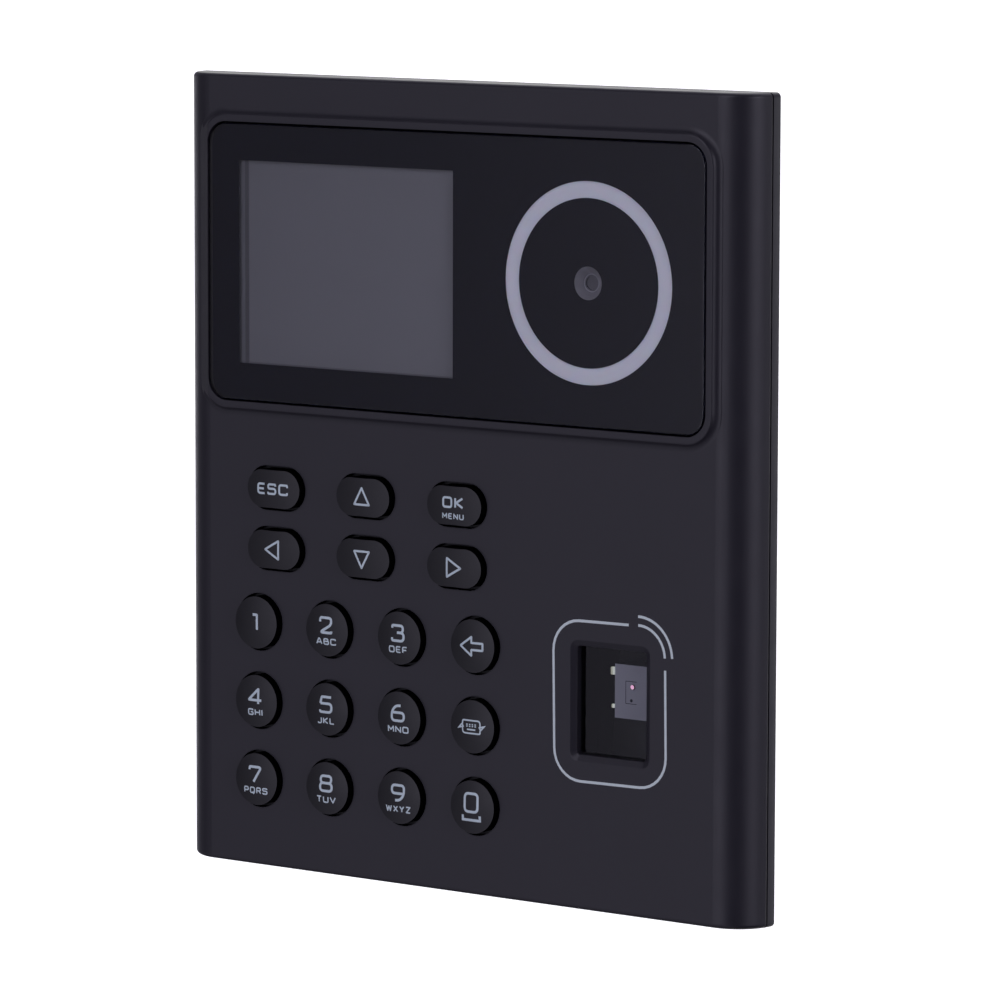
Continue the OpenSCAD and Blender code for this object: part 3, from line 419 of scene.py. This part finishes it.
def ribbon(mesh, points, width, surface, depth, closed=False):
    """A line of the given width along a path, lying on a surface, which gives y at each x and z."""
    points = divided(points, closed)
    count = len(points)
    rows = []
    for i in range(count):
        here = Vector(points[i])
        back = here - Vector(points[i - 1]) if closed or i > 0 else None
        ahead = Vector(points[(i + 1) % count]) - here if closed or i < count - 1 else None
        back = (back or ahead).normalized()
        ahead = (ahead or back).normalized()
        along = (back + ahead).normalized()
        side = Vector((-along.y, along.x))
        reach = width / 2 / max(0.4, side.dot(Vector((-back.y, back.x))))
        rows.append([here + side * reach, here - side * reach])
    top, low = [], []
    for row in rows:
        top.append([mesh.verts.new((p.x * MM, (surface(p.x, p.y) - depth) * MM, p.y * MM)) for p in row])
        low.append([mesh.verts.new((p.x * MM, surface(p.x, p.y) * MM, p.y * MM)) for p in row])
    for i in range(count if closed else count - 1):
        j = (i + 1) % count
        mesh.faces.new((top[i][0], top[i][1], top[j][1], top[j][0]))
        mesh.faces.new((low[j][0], low[j][1], low[i][1], low[i][0]))
        mesh.faces.new((top[i][0], top[j][0], low[j][0], low[i][0]))
        mesh.faces.new((top[i][1], low[i][1], low[j][1], top[j][1]))
    if not closed:
        mesh.faces.new((top[0][0], low[0][0], low[0][1], top[0][1]))
        mesh.faces.new((top[-1][1], low[-1][1], low[-1][0], top[-1][0]))


def piece(name, mesh, material, body):
    """Makes an object of a bmesh, with outward faces, that rides on a body."""
    bmesh.ops.recalc_face_normals(mesh, faces=mesh.faces)
    data = bpy.data.meshes.new(name)
    mesh.to_mesh(data)
    mesh.free()
    data.materials.append(material)
    obj = bpy.data.objects.new(name, data)
    bpy.context.scene.collection.objects.link(obj)
    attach(obj, body)


# Glyphs of a squarish technical alphabet, one unit high: width, then strokes. A stroke that starts
# with "o" is closed, and one that starts with "sharp" has hardly rounded corners, as all the strokes
# of the characters in SHARP have.
GLYPHS = {
    "0": (0.72, [("o", (0, 0), (0, 1), (0.72, 1), (0.72, 0))]),
    "1": (0.3, [((0, 1), (0.3, 1), (0.3, 0))]),
    "2": (0.8, [((0, 0.72), (0, 1), (0.78, 1), (0.78, 0.56), (0, 0.02), (0.8, 0.02), (0.8, 0.14))]),
    "3": (0.8, [((0, 0.82), (0, 1), (0.74, 1), (0.74, 0.54), (0.34, 0.54)),
        ((0.34, 0.54), (0.8, 0.54), (0.8, 0), (0, 0), (0, 0.2))]),
    "4": (0.9, [((0.9, 0.24), (0, 0.24), (0.68, 1), (0.68, 0))]),
    "5": (0.8, [("sharp", (0.76, 1), (0.1, 1), (0.02, 0.57)),
        ((0.02, 0.57), (0.8, 0.57), (0.8, 0), (0, 0), (0, 0.14))]),
    "6": (0.84, [((0.6, 1), (0.28, 0.98), (0, 0.62), (0, 0), (0.84, 0), (0.84, 0.54), (0, 0.54))]),
    "7": (0.84, [((0, 0.8), (0, 1), (0.84, 1), (0.3, 0))]),
    "8": (0.82, [("o", (0.04, 0.53), (0.04, 1), (0.78, 1), (0.78, 0.53)),
        ("o", (0, 0), (0, 0.53), (0.82, 0.53), (0.82, 0))]),
    "9": (0.84, [((0.24, 0), (0.56, 0.02), (0.84, 0.38), (0.84, 1), (0, 1), (0, 0.46), (0.84, 0.46))]),
    "A": (1.0, [((0, 0), (0.42, 1), (0.58, 1), (1, 0)), ((0.2, 0.32), (0.8, 0.32))]),
    "B": (0.85, [("o", (0, 0), (0, 1), (0.74, 1), (0.74, 0.53), (0.85, 0.5), (0.85, 0)),
        ((0, 0.53), (0.74, 0.53))]),
    "C": (0.85, [((0.85, 0.74), (0.85, 1), (0, 1), (0, 0), (0.85, 0), (0.85, 0.22))]),
    "D": (0.9, [("o", (0, 0), (0, 1), (0.9, 1), (0.9, 0))]),
    "E": (0.75, [((0.75, 1), (0, 1), (0, 0), (0.75, 0)), ((0, 0.5), (0.66, 0.5))]),
    "F": (0.75, [((0.75, 1), (0, 1), (0, 0)), ((0, 0.46), (0.64, 0.46))]),
    "G": (0.88, [((0.84, 0.78), (0.84, 1), (0, 1), (0, 0), (0.88, 0), (0.88, 0.5), (0.45, 0.5))]),
    "H": (0.85, [((0, 0), (0, 1)), ((0.85, 0), (0.85, 1)), ((0, 0.5), (0.85, 0.5))]),
    "I": (0.0, [((0, 0), (0, 1))]),
    "J": (0.6, [((0.6, 1), (0.6, 0), (0, 0), (0, 0.22))]),
    "K": (0.8, [((0, 0), (0, 1)), ((0.78, 1), (0.1, 0.5), (0.8, 0))]),
    "L": (0.7, [((0, 1), (0, 0), (0.7, 0))]),
    "M": (1.0, [((0, 0), (0, 1), (0.5, 0.36), (1, 1), (1, 0))]),
    "N": (0.9, [((0, 0), (0, 1), (0.9, 0), (0.9, 1))]),
    "O": (0.92, [("o", (0, 0), (0, 1), (0.92, 1), (0.92, 0))]),
    "P": (0.82, [((0, 0), (0, 1), (0.82, 1), (0.82, 0.42), (0, 0.42))]),
    "Q": (0.9, [("o", (0, 0), (0, 1), (0.9, 1), (0.9, 0)), ((0.56, 0.3), (0.72, -0.24))]),
    "R": (0.82, [((0, 0), (0, 1), (0.8, 1), (0.8, 0.46), (0, 0.46)), ((0.44, 0.46), (0.82, 0))]),
    "S": (0.82, [((0.8, 0.8), (0.8, 1), (0, 1), (0, 0.54), (0.82, 0.54), (0.82, 0), (0, 0), (0, 0.2))]),
    "T": (0.84, [((0, 1), (0.84, 1)), ((0.42, 1), (0.42, 0))]),
    "U": (0.86, [((0, 1), (0, 0), (0.86, 0), (0.86, 1))]),
    "V": (0.94, [((0, 1), (0.47, 0), (0.94, 1))]),
    "W": (1.2, [((0, 1), (0.28, 0), (0.6, 0.86), (0.92, 0), (1.2, 1))]),
    "X": (0.9, [((0, 0), (0.9, 1)), ((0, 1), (0.9, 0))]),
    "Y": (0.9, [((0, 1), (0.45, 0.46), (0.9, 1)), ((0.45, 0.46), (0.45, 0))]),
    "Z": (0.85, [((0, 1), (0.85, 1), (0, 0), (0.85, 0))]),
}
SHARP = set("1AKMNVWXYZLT4")


def word(mesh, text, centre, height, width, stroke, y):
    """Writes a word in ribbons, centred. width scales the letters across."""
    gap = 0.24 * height + stroke * 0.85
    scale = (height - stroke) * width
    spans = [GLYPHS[c][0] * scale for c in text]
    x = centre[0] - (sum(spans) + gap * (len(text) - 1)) / 2
    low = centre[1] - (height - stroke) / 2
    for char, span in zip(text, spans):
        for layer, stroke_points in enumerate(GLYPHS[char][1]):
            closed = stroke_points[0] == "o"
            bend = 0.05 if char in SHARP or stroke_points[0] == "sharp" else 0.22
            points = [p for p in stroke_points if not isinstance(p, str)]
            points = [(x + px * scale, low + pz * (height - stroke)) for px, pz in points]
            points = soften(points, bend * height, closed)
            ribbon(mesh, points, stroke, y, PROUD - layer * LAYER, closed)
        x += span + gap


TRIANGLE = [(-0.56, -0.44), (0, 0.56), (0.56, -0.44)]
BACK_ARROW = [(-0.5, 0), (0, 0.35), (0, 0.13), (0.5, 0.13), (0.5, -0.13), (0, -0.13), (0, -0.35)]


def turned(points, quarter):
    """Points turned by quarter turns, anticlockwise in the front view."""
    for _ in range(quarter):
        points = [(-z, x) for x, z in points]
    return points


def input_sign(mesh, centre, y):
    """A small keyboard between two arrows that chase each other round it."""
    cx, cz = centre
    line = 0.3
    half_w, half_h = 2.0, 1.2
    pitch, cap, cap_line = 0.63, 0.34, 0.24
    upper = [(cx - half_w, cz + 0.5), (cx - half_w, cz + half_h), (cx + half_w, cz + half_h),
        (cx + half_w, cz - 0.1)]
    lower = [(cx + half_w, cz - 0.6), (cx + half_w, cz - half_h), (cx - half_w, cz - half_h),
        (cx - half_w, cz + 0.1)]
    for path in (upper, lower):
        ribbon(mesh, soften(path, 0.7), line, y, PROUD)
    for side in (1, -1):
        tip = [(cx + side * (half_w - 0.15), cz), (cx + side * (half_w + 0.95), cz + side * 0.3),
            (cx + side * (half_w + 0.1), cz - side * 0.5)]
        ribbon(mesh, tip, line, y, PROUD, True)
    for i in range(4):
        for row in (0.45, 0.1):
            x = cx - 0.95 + i * pitch
            ribbon(mesh, [(x - cap / 2, cz + row), (x + cap / 2, cz + row)], cap_line, y, PROUD)
    ribbon(mesh, [(cx - 0.95, cz - 0.5), (cx + 0.95, cz - 0.5)], line, y, PROUD)


def front_of(node):
    """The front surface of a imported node: y at x and z, in mm."""
    obj = nodes[node]
    points = [obj.matrix_world @ v.co for v in obj.data.vertices]
    tree = BVHTree.FromPolygons(points, [p.vertices for p in obj.data.polygons])

    def surface(x, z):
        return tree.ray_cast(Vector((x * MM, -1, z * MM)), Vector((0, 1, 0)))[0].y / MM
    return surface


def key_legend(key, draw):
    """One key's printed legend, which rides on the key."""
    low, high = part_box(key)
    centre = ((low.x + high.x) / 2 / MM, (low.z + high.z) / 2 / MM)
    mesh = bmesh.new()
    draw(mesh, centre, front_of(key))
    piece("legend_" + key, mesh, LEGEND_INK, key)


def digit_legend(digit, letters):
    """A digit, with its letters in a row below it. Four letters are narrower than three."""
    across = {"WXYZ": 0.98, "PQRS": 1.08}.get(letters, 1.2)

    def draw(mesh, centre, y):
        cx, cz = centre
        lift = 0.95 if letters else 0.1
        word(mesh, digit, (cx, cz + lift), 3.35, 1.17, 0.5, y)
        if letters:
            word(mesh, letters, (cx, cz - 2.1), 1.3, across, 0.27, y)
    return draw


def zero_legend(mesh, centre, y):
    """A nought over a space bar."""
    cx, cz = centre
    half, high, low = 1.95, -1.5, -2.4
    word(mesh, "0", (cx, cz + 0.85), 3.9, 1.2, 0.5, y)
    bar = [(cx - half, cz + high), (cx - half, cz + low), (cx + half, cz + low), (cx + half, cz + high)]
    ribbon(mesh, bar, 0.5, y, PROUD)


def sign_legend(points, size, stroke):
    """A single outlined sign: points in units of size around the key's centre."""
    def draw(mesh, centre, y):
        path = [(centre[0] + px * size, centre[1] + pz * size) for px, pz in points]
        ribbon(mesh, soften(path, 0.02 * size, True), stroke, y, PROUD, True)
    return draw


def esc_legend(mesh, centre, y):
    word(mesh, "ESC", centre, 2.2, 1.2, 0.42, y)


def ok_legend(mesh, centre, y):
    word(mesh, "OK", (centre[0], centre[1] + 0.6), 2.15, 1.2, 0.42, y)
    word(mesh, "MENU", (centre[0], centre[1] - 1.95), 1.15, 1.02, 0.24, y)


def make_legends():
    """The legends of all the keys."""
    letters = {"1": "", "2": "ABC", "3": "DEF", "4": "GHI", "5": "JKL", "6": "MNO", "7": "PQRS",
        "8": "TUV", "9": "WXYZ"}
    for digit, group in letters.items():
        key_legend("key_" + digit, digit_legend(digit, group))
    key_legend("key_0", zero_legend)
    key_legend("key_back", sign_legend(BACK_ARROW, 5.0, 0.42))
    key_legend("key_input", input_sign)
    key_legend("key_esc", esc_legend)
    key_legend("key_ok", ok_legend)
    for key, quarter in (("key_up", 0), ("key_left", 1), ("key_down", 2), ("key_right", 3)):
        key_legend(key, sign_legend(turned(TRIANGLE, quarter), 3.1, 0.42))


def reader_frame():
    """The printed line around the finger's recess, with a signal mark at its top right corner."""
    line = 0.5
    left, right, low, high = 22.6, 47.35, -51.1, -21.6
    corner, outer = 5.8, 7.4
    top_end, right_end = 39.4, -29.3
    signal = (41.5, -27.3)
    tilt = math.radians(0.8)
    middle = Vector(((left + right) / 2, (low + high) / 2))

    def tilted(points):
        """The print sits very slightly askew on the case."""
        out = []
        for x, z in points:
            off = Vector((x, z)) - middle
            out.append((middle.x + off.x * math.cos(tilt) - off.y * math.sin(tilt),
                middle.y + off.x * math.sin(tilt) + off.y * math.cos(tilt)))
        return out

    mesh = bmesh.new()
    surface = front_of("front_shell")
    path = [(top_end, high)]
    path += arc((left + corner, high - corner), corner, 90, 180)
    path += arc((left + corner, low + corner), corner, 180, 270)
    path += arc((right - corner, low + corner), corner, 270, 360)
    path += [(right, right_end)]
    ribbon(mesh, tilted(path), line, surface, PROUD)
    for radius in (corner, outer):
        ribbon(mesh, tilted(arc(signal, radius, 90, 2, 14)), line, surface, PROUD)
    piece("reader_line", mesh, LINE_INK, "case")


def screen_border():
    """The screen's masked edge: it shows as a darker strip at the window's left and a thin one below."""
    surface = front_of("lcd_panel")
    top, low = 59.4, 20.3
    side, edge, far = -50.1, -49.2, -0.2
    side_width, edge_width, foot_width = 3.0, 0.85, 0.7
    start, foot = side + side_width / 2 + 0.02, low + 0.3
    strip = bmesh.new()
    ribbon(strip, [(side, low), (side, top)], side_width, surface, PROUD)
    ribbon(strip, [(start, foot), (far, foot)], foot_width, surface, PROUD)
    piece("screen_edge", strip, SCREEN_EDGE, "case")
    line = bmesh.new()
    ribbon(line, [(edge, low), (edge, top)], edge_width, surface, PROUD + LAYER)
    piece("screen_edge_line", line, SCREEN_LINE, "case")


def block(mesh, low, high):
    """An upright box between two corners, in mm, with narrow bevels."""
    bevel = 0.08
    made = bmesh.ops.create_cube(mesh, size=1.0)["verts"]
    for v in made:
        v.co = Vector([(low[k] + (v.co[k] + 0.5) * (high[k] - low[k])) * MM for k in range(3)])
    edges = {e for v in made for e in v.link_edges}
    bmesh.ops.bevel(mesh, geom=list(edges), offset=bevel * MM, segments=2, affect="EDGES", profile=0.5)


def disc(mesh, centre, radius, y, depth):
    """A short round stud that faces the viewer, in mm."""
    steps = 24
    rings = []
    for r, d in ((radius, 0.0), (radius, depth * 0.7), (radius * 0.8, depth)):
        ring = arc(centre, r, 0, 360, steps)[:-1]
        rings.append([mesh.verts.new((x * MM, (y - d) * MM, z * MM)) for x, z in ring])
    for a, b in zip(rings, rings[1:]):
        for k in range(steps):
            mesh.faces.new((a[k], a[(k + 1) % steps], b[(k + 1) % steps], b[k]))
    mesh.faces.new(rings[-1])
    mesh.faces.new(rings[0][::-1])


def sensor_details():
    """What shows through the reader's glass.

    They are the outline of the sensor's chip, a contact, the lamp, and two lights beside the plate."""
    plate, lens = -18.8, -19.3
    chip = bmesh.new()
    edge = [(38.8, -32.4), (36.4, -32.4), (36.4, -36.5), (38.8, -36.5)]
    ribbon(chip, edge, 0.12, lambda x, z: plate, PROUD)
    piece("sensor_outline", chip, CHIP_LINE, "case")
    dot = bmesh.new()
    disc(dot, (37.65, -35.9), 0.3, plate, 0.03)
    piece("sensor_contact", dot, CHIP_LINE, "case")
    glow = bmesh.new()
    disc(glow, (38.05, -33.35), 0.38, lens, 0.08)
    piece("sensor_glow", glow, LAMP_GLOW, "case")
    lights = bmesh.new()
    front, back, right = -18.5, -17.6, 33.95
    block(lights, (32.9, front, -31.5), (right, back, -30.1))
    block(lights, (33.1, front, -37.6), (right, back, -36.9))
    piece("sensor_lights", lights, LED_WHITE, "case")


# ---- Light, floor and camera ----


class Sky:
    """The room's light as soft patches in the world, placed by azimuth and elevation in degrees.

    Azimuth 0 is straight in front of the object, and 90 is to its right."""

    def __init__(self):
        world = bpy.data.worlds.new("studio")
        bpy.context.scene.world = world
        world.use_nodes = True
        self.tree = world.node_tree
        self.tree.nodes.clear()
        place = self.tree.nodes.new("ShaderNodeTexCoord").outputs["Generated"]
        split = self.tree.nodes.new("ShaderNodeSeparateXYZ")
        self.tree.links.new(place, split.inputs[0])
        front = self.math("MULTIPLY", split.outputs["Y"], -1.0)
        self.azimuth = self.math("ARCTAN2", split.outputs["X"], front)
        self.elevation = self.math("ARCSINE", split.outputs["Z"])

    def math(self, operation, a, b=0.0):
        node = self.tree.nodes.new("ShaderNodeMath")
        node.operation = operation
        for socket, value in zip(node.inputs, (a, b)):
            if isinstance(value, bpy.types.NodeSocket):
                self.tree.links.new(value, socket)
            else:
                socket.default_value = value
        return node.outputs[0]

    def near(self, angle, middle, half, fade):
        """1 within half of the middle, and softly down to 0 over fade."""
        away = self.math("ABSOLUTE", self.math("SUBTRACT", angle, math.radians(middle)))
        edge = self.tree.nodes.new("ShaderNodeMapRange")
        edge.interpolation_type = "SMOOTHSTEP"
        edge.inputs["From Min"].default_value = math.radians(half)
        edge.inputs["From Max"].default_value = math.radians(half + fade)
        edge.inputs["To Min"].default_value = 1.0
        edge.inputs["To Max"].default_value = 0.0
        self.tree.links.new(away, edge.inputs["Value"])
        return edge.outputs["Result"]

    def patches(self, floor_level, places):
        """The sum of some soft patches, each (level, azimuth's middle, half, fade, elevation's)."""
        total = floor_level
        for level, across, up in places:
            patch = self.math("MULTIPLY", self.near(self.azimuth, *across), self.near(self.elevation, *up))
            total = self.math("ADD", self.math("MULTIPLY", patch, level), total)
        return total

    def glow(self, strength, colour):
        node = self.tree.nodes.new("ShaderNodeBackground")
        node.inputs["Color"].default_value = (*colour, 1)
        self.tree.links.new(strength, node.inputs["Strength"])
        return node.outputs[0]

    def finish(self, a, b):
        both = self.tree.nodes.new("ShaderNodeAddShader")
        self.tree.links.new(a, both.inputs[0])
        self.tree.links.new(b, both.inputs[1])
        out = self.tree.nodes.new("ShaderNodeOutputWorld")
        self.tree.links.new(both.outputs[0], out.inputs["Surface"])


# Level, then middle, half width and fade across, then the same upwards.
BACKDROP = [
    (1.25, (180, 4, 12), (0, 70, 15)),
    (1.25, (-180, 43, 9), (0, 70, 15)),
]
ROOM = [
    (0.94, (-12, 4, 10), (-12, 6, 16)),
    (1.25, (-12, 4, 10), (12, 8, 16)),
    (1.55, (-14, 8, 14), (34, 8, 16)),
    (0.45, (-36, 6, 10), (50, 6, 10)),
    (0.22, (-36, 8, 22), (5, 25, 20)),
    (0.58, (-25, 0, 15), (-5, 8, 12)),
    (0.14, (-84, 6, 14), (0, 25, 20)),
    (0.35, (-112, 5, 10), (0, 20, 15)),
    (0.50, (72, 8, 12), (-10, 6, 16)),
    (2.43, (72, 8, 12), (14, 8, 16)),
    (0.23, (92, 6, 14), (14, 12, 16)),
    (0.47, (130, 12, 20), (0, 30, 20)),
    (0.31, (-30, 30, 30), (-45, 15, 15)),
    (0.93, (180, 80, 15), (75, 25, 15)),
    (0.93, (-180, 80, 15), (75, 25, 15)),
]
ROOM_LEVEL = 0.014
COOL = (0.99, 0.95, 1.17)


def studio():
    """A white backdrop behind the object and, in front of it, a dim cool room with a few soft lights."""
    sky = Sky()
    room = sky.glow(sky.patches(ROOM_LEVEL, ROOM), COOL)
    sky.finish(room, sky.glow(sky.patches(0.0, BACKDROP), (1, 1, 1)))


def floor():
    """A plain pale floor that glows softly. It starts behind the wall plane, below the object."""
    s = Shader("floor")
    half, behind, height = 8.0, 8.75, -0.32
    level = s.spread(s.noise(40, 3.0), 0.75, 0.85)
    material = s.finish(s.principled(Base_Color=(0.9, 0.9, 0.9, 1), Roughness=level,
        Emission_Color=(1, 1, 1, 1), Emission_Strength=0.7))
    mesh = bmesh.new()
    bmesh.ops.create_grid(mesh, x_segments=8, y_segments=8, size=half)
    data = bpy.data.meshes.new("floor")
    mesh.to_mesh(data)
    mesh.free()
    data.materials.append(material)
    obj = bpy.data.objects.new("floor", data)
    obj.location = (0, behind, height)
    bpy.context.scene.collection.objects.link(obj)


def camera():
    """A long lens on the front's right and a little above. Place in mm, turns in degrees."""
    data = bpy.data.cameras.new("camera")
    data.sensor_width = 36
    data.lens = 210.46
    data.clip_start, data.clip_end = 0.05, 50
    obj = bpy.data.objects.new("camera", data)
    obj.location = Vector((639.98, -877.42, 127.31)) * MM
    yaw, pitch, roll = (math.radians(v) for v in (36.383, 6.889, 0.139))
    ahead = Vector((-math.sin(yaw) * math.cos(pitch), math.cos(yaw) * math.cos(pitch), -math.sin(pitch)))
    right = ahead.cross(Vector((0, 0, 1))).normalized()
    up = right.cross(ahead)
    right, up = (right * math.cos(roll) + up * math.sin(roll), up * math.cos(roll) - right * math.sin(roll))
    turn = obj.matrix_world.to_3x3()
    turn.col[0], turn.col[1], turn.col[2] = right, up, -ahead
    obj.rotation_euler = turn.to_euler()
    bpy.context.scene.collection.objects.link(obj)
    bpy.context.scene.camera = obj


dress_nodes()
make_legends()
reader_frame()
screen_border()
sensor_details()
studio()
floor()
camera()
bpy.context.scene.view_settings.view_transform = "Standard"
